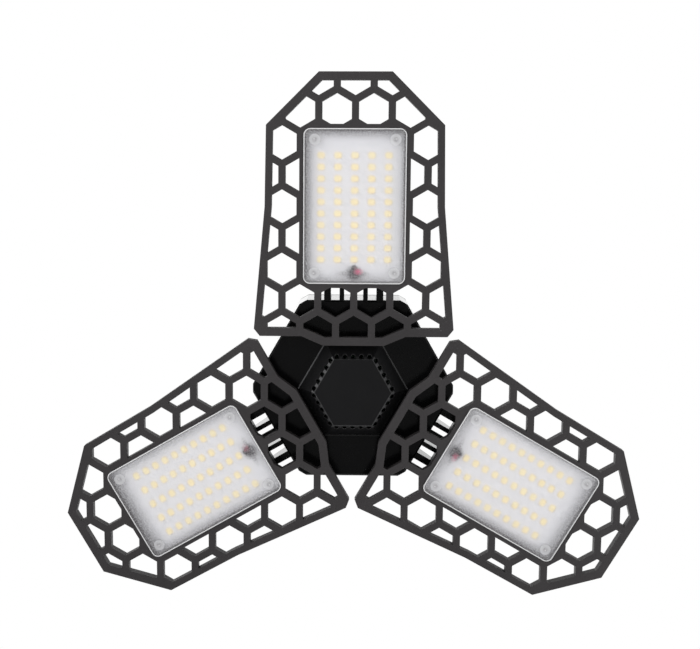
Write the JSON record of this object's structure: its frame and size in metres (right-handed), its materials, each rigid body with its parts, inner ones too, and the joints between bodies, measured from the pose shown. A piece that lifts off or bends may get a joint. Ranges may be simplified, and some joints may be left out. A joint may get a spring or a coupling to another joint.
{
  "type": "folding garage ceiling lamp",
  "caption": "Screw-in garage ceiling lamp: a hexagonal hub on a screw base with honeycomb leaves, each with a frosted LED panel, that fold up towards the base.",
  "frame": {"origin": "tip of the screw base's centre contact, on the lamp's axis", "axes": "+Z along the screw base into the lampholder, so the lamp hangs towards -Z and shines that way; +Y from the axis towards leaf 1"},
  "size_m": [0.2976, 0.2676, 0.1154],
  "materials": {
    "black_plastic": "satin",
    "board_green": "satin",
    "board_white": "matte",
    "cap_black": "matte",
    "capacitor_dark": "glossy",
    "contact": "satin",
    "copper": "satin",
    "core_tape": "satin",
    "film_orange": "glossy",
    "frame_black": "satin powder coat",
    "frosted": "frosted",
    "fuse_glass": "glossy",
    "gasket_white": "matte",
    "gloss_black": "glossy",
    "insulator": "matte",
    "lead_black": "matte",
    "leaf_black": "satin",
    "led_yellow": "matte",
    "plug_white": "satin",
    "rubber_black": "matte",
    "screw_steel": "satin",
    "shell": "satin",
    "wire_red": "satin",
    "wire_white": "satin"
  },
  "bodies": {
    "hub": {"centre_contact": "contact", "base_insulator": "insulator", "screw_shell": "shell", "neck": "black_plastic", "neck_screws": "screw_steel", "rear_cover": "black_plastic", "hub_housing": "gloss_black", "front_cap": "cap_black", "housing_screws": "screw_steel", "lead_grommets": "rubber_black", "driver_board": "board_green", "board_screws": "screw_steel", "transformer": "core_tape", "capacitors": "capacitor_dark", "film_capacitor": "film_orange", "rectifier": "capacitor_dark", "choke": "copper", "fuse": "fuse_glass", "lead_plugs": "plug_white", "supply_leads": "wire_white", "hinge_bolts": "screw_steel", "hinge_washers": "screw_steel", "hinge_nuts": "screw_steel", "panel_lead_1": "lead_black", "panel_lead_2": "lead_black", "panel_lead_3": "lead_black"},
    "panel_1": {"panel_frame_1": "frame_black", "hinge_leaf_1": "leaf_black", "leaf_screws_1": "screw_steel", "led_board_1": "board_white", "leds_1": "led_yellow", "lens_1": "frosted", "lens_gasket_1": "gasket_white", "lens_screws_1": "screw_steel", "wire_ends_1": "wire_red", "panel_grommet_1": "rubber_black"},
    "panel_2": {"panel_frame_2": "frame_black", "hinge_leaf_2": "leaf_black", "leaf_screws_2": "screw_steel", "led_board_2": "board_white", "leds_2": "led_yellow", "lens_2": "frosted", "lens_gasket_2": "gasket_white", "lens_screws_2": "screw_steel", "wire_ends_2": "wire_red", "panel_grommet_2": "rubber_black"},
    "panel_3": {"panel_frame_3": "frame_black", "hinge_leaf_3": "leaf_black", "leaf_screws_3": "screw_steel", "led_board_3": "board_white", "leds_3": "led_yellow", "lens_3": "frosted", "lens_gasket_3": "gasket_white", "lens_screws_3": "screw_steel", "wire_ends_3": "wire_red", "panel_grommet_3": "rubber_black"}
  },
  "joints": [
    {"name": "fold_1", "type": "hinge", "parent": "hub", "child": "panel_1", "pos_m": [0, 0.058, -0.0976], "axis": [1, 0, 0], "range_deg": [0, 90], "deforming": ["panel_lead_1"]},
    {"name": "fold_2", "type": "hinge", "parent": "hub", "child": "panel_2", "pos_m": [-0.05023, -0.029, -0.0976], "axis": [-0.5, 0.866, 0], "range_deg": [0, 90], "deforming": ["panel_lead_2"]},
    {"name": "fold_3", "type": "hinge", "parent": "hub", "child": "panel_3", "pos_m": [0.05023, -0.029, -0.0976], "axis": [-0.5, -0.866, 0], "range_deg": [0, 90], "deforming": ["panel_lead_3"]}
  ]
}
